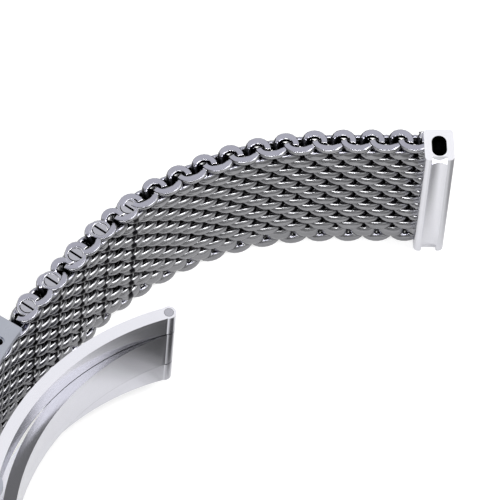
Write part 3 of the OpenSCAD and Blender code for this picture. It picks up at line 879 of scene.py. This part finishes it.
# %% [markdown]
# ## The bar's spring
# One coil spring pushes both tips outwards. The spring is made as two coils that start at its middle, one for
# each tip.

# %% Spring
SPRING_WIRE, SPRING_TURNS, SPRING_POINTS, SPRING_SIDES = 0.12, 7, 240, 8


def half_spring(side):
    """Round wire from the middle to one end: a circle that rises evenly for SPRING_TURNS turns, and then
    stays level for half a turn, as a ground end does."""
    end = "top" if side > 0 else "bottom"
    low, high = (np.array(v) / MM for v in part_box("adjuster_bar_spring"))
    middle = (low + high) / 2
    radius, reach = (high[0] - low[0]) / 2 - SPRING_WIRE, high[2] - SPRING_WIRE
    f = np.linspace(0, (2 * SPRING_TURNS + 1) * np.pi, SPRING_POINTS)
    height = reach * np.minimum(f / (2 * SPRING_TURNS * np.pi), 1.0)
    path = np.stack([middle[0] + radius * np.cos(f), middle[1] + side * radius * np.sin(f),
                     side * height], -1)
    guide = np.stack([np.cos(f), side * np.sin(f), np.zeros_like(f)], -1)
    points, faces = tube(path, guide, SPRING_WIRE, SPRING_WIRE, SPRING_SIDES)
    made = add_piece(f"spring_{end}", points, faces, [SPRING])
    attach(made, "clasp_cover")
    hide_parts("adjuster_bar_spring")
    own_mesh(made)
    return made


springs = [half_spring(side) for side in (1, -1)]
print("spring halves:", len(springs))

# %% [markdown]
# ## The table
# The bracelet stands on a white table that keeps a soft shadow. A grey table under strong lamps would do the
# same, but would tint the shade. So this one glows a little by itself, enough to look white to the camera,
# and less where the steel mirrors it. What the steel mirrors of it is darker in one streaky place beside the
# clasp and towards the right, which gives the leaf and the end piece their dark stretches.

# %% Table
TABLE_HALF, TABLE_DROP = 2000.0, 0.02
TABLE_WHITE, CAMERA_GLOW, MIRROR_GLOW = 0.5, 0.62, 0.26
DARK_PLACE, DARK_FROM, DARK_TO, DARKEST = (-27.0, -30.0), 6.0, 14.0, 0.08
STREAK_SCALE, STREAK_REACH = (700, 60, 1), 4.0
RIGHT_FROM, RIGHT_TO, RIGHT_DIM = -2.0, 10.0, 0.35


def mirrored_share(tree):
    """How much of the table the steel mirrors: least round DARK_PLACE, with a streaky border, and falling
    towards the right."""
    place = node(tree, "ShaderNodeTexCoord").outputs["Object"]
    stretched = node(tree, "ShaderNodeMapping", Vector=place, Scale=STREAK_SCALE)
    streaks = node(tree, "ShaderNodeTexNoise", Vector=stretched.outputs[0], Scale=1.0, Detail=2.0)
    away = node(tree, "ShaderNodeVectorMath", {"operation": "DISTANCE"}, at0=place,
                at1=tuple(v * MM for v in (*DARK_PLACE, -HALF_WIDTH)))
    near = math_node(tree, "ADD", away.outputs["Value"],
                     math_node(tree, "MULTIPLY", streaks.outputs["Fac"], STREAK_REACH * MM))
    clear = node(tree, "ShaderNodeMapRange", {"interpolation_type": "SMOOTHSTEP"}, Value=near,
                 From_Min=DARK_FROM * MM, From_Max=DARK_TO * MM, To_Min=DARKEST, To_Max=1.0)
    side = node(tree, "ShaderNodeSeparateXYZ", Vector=place).outputs["X"]
    right = node(tree, "ShaderNodeMapRange", Value=side, From_Min=RIGHT_FROM * MM, From_Max=RIGHT_TO * MM,
                 To_Min=1.0, To_Max=RIGHT_DIM)
    return math_node(tree, "MULTIPLY", clear.outputs[0], right.outputs[0])


def white_table():
    """A large square just under the object, with a matt white that also glows."""
    low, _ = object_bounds()
    r = TABLE_HALF
    corners = [(-r, -r, 0), (r, -r, 0), (r, r, 0), (-r, r, 0)]
    white = bpy.data.materials.new("white table")
    white.use_nodes = True
    tree = white.node_tree
    tree.nodes.clear()
    path = node(tree, "ShaderNodeLightPath")
    glossy, mirrored = path.outputs["Is Glossy Ray"], mirrored_share(tree)
    tint = node(tree, "ShaderNodeMix", {"data_type": "FLOAT"}, at0=glossy, at2=TABLE_WHITE,
                at3=math_node(tree, "MULTIPLY", mirrored, TABLE_WHITE))
    diffuse = node(tree, "ShaderNodeBsdfDiffuse", Color=tint.outputs[0])
    seen = math_node(tree, "MAXIMUM", path.outputs["Is Camera Ray"], path.outputs["Is Transmission Ray"])
    in_steel = math_node(tree, "MULTIPLY", math_node(tree, "MULTIPLY", glossy, MIRROR_GLOW), mirrored)
    strength = math_node(tree, "ADD", math_node(tree, "MULTIPLY", seen, CAMERA_GLOW), in_steel)
    glow = node(tree, "ShaderNodeEmission", Color=(1, 1, 1, 1), Strength=strength)
    both = node(tree, "ShaderNodeAddShader", at0=diffuse.outputs[0], at1=glow.outputs[0])
    out = node(tree, "ShaderNodeOutputMaterial")
    tree.links.new(both.outputs[0], out.inputs["Surface"])
    table = add_piece("table", np.array(corners) + np.array([0, 0, low.z / MM - TABLE_DROP]), [(0, 1, 2, 3)],
                      [white])


white_table()
print("table:", 2 * TABLE_HALF * MM, "m wide")

# %% [markdown]
# ## The room
# A white room, as in a studio, lights the bracelet from all sides. Polished steel shows what is round it, so
# the room is darker on the camera's side and near the floor.

# %% Room
ROOM_LIGHT = 0.6
FRONT, FRONT_FROM, FRONT_TO, FRONT_DIM = (0.0, -0.54, 0.84), 0.6, 0.95, 0.22
FLOOR_FROM, FLOOR_TO, FLOOR_DIM = 0.05, 0.5, 0.35


def white_room():
    """The light that falls on things is even. What is seen or mirrored falls off towards the front, by the
    cosine of the angle to it, and towards the floor, by the height of the direction."""
    world = bpy.data.worlds.new("white room")
    bpy.context.scene.world = world
    world.use_nodes = True
    tree = world.node_tree
    tree.nodes.clear()
    path = node(tree, "ShaderNodeLightPath")
    bent = math_node(tree, "MAXIMUM", path.outputs["Is Glossy Ray"], path.outputs["Is Transmission Ray"])
    seen = math_node(tree, "MAXIMUM", path.outputs["Is Camera Ray"], bent)
    direction = node(tree, "ShaderNodeTexCoord").outputs["Generated"]
    toward = node(tree, "ShaderNodeVectorMath", {"operation": "DOT_PRODUCT"}, at0=direction, at1=FRONT)
    front = node(tree, "ShaderNodeMapRange", {"interpolation_type": "SMOOTHSTEP"},
                 Value=toward.outputs["Value"], From_Min=FRONT_FROM, From_Max=FRONT_TO, To_Min=1.0,
                 To_Max=FRONT_DIM)
    height = node(tree, "ShaderNodeSeparateXYZ", Vector=direction).outputs["Z"]
    floor = node(tree, "ShaderNodeMapRange", Value=height, From_Min=FLOOR_FROM, From_Max=FLOOR_TO,
                 To_Min=FLOOR_DIM, To_Max=1.0)
    mirrored = math_node(tree, "MULTIPLY", front.outputs[0], floor.outputs[0])
    strength = node(tree, "ShaderNodeMix", {"data_type": "FLOAT"}, at0=seen, at2=ROOM_LIGHT, at3=mirrored)
    back = node(tree, "ShaderNodeBackground", Color=(1, 1, 1, 1), Strength=strength.outputs[0])
    out = node(tree, "ShaderNodeOutputWorld")
    tree.links.new(back.outputs[0], out.inputs["Surface"])


white_room()
print("world:", bpy.context.scene.world.name)

# %% [markdown]
# ## Lamps
# A strip lamp in front, above the camera, draws the white glints on the wires. A lamp at the right brightens
# the end piece, and two weak ones, far to the left and right, open the shade.

# %% Lamps
LAMPS = [("front strip", (-20, -190, 410), 0.75, 240, 120),
         ("side window", (230, -20, 400), 0.8, 200, 200),
         ("left lamp", (-420, -60, 260), 0.3, 300, 300),
         ("right lamp", (420, 100, 300), 0.3, 300, 300)]


def lamp(name, place, power, wide, deep):
    """A soft lamp pointed at the band. Its place, wide and deep are in millimetres, power in watts."""
    data = bpy.data.lights.new(name, "AREA")
    data.energy, data.shape, data.size, data.size_y = power, "RECTANGLE", wide * MM, deep * MM
    made = bpy.data.objects.new(name, data)
    bpy.context.scene.collection.objects.link(made)
    made.location = Vector(place) * MM
    made.rotation_mode = "QUATERNION"
    made.rotation_quaternion = (Vector(LOOK_AT) - Vector(place)).to_track_quat("-Z", "Y")


for values in LAMPS:
    lamp(*values)
print("lamps:", len(LAMPS))

# %% [markdown]
# ## Colours
# Standard colours.

# %% Finish
bpy.context.scene.view_settings.view_transform = "Standard"
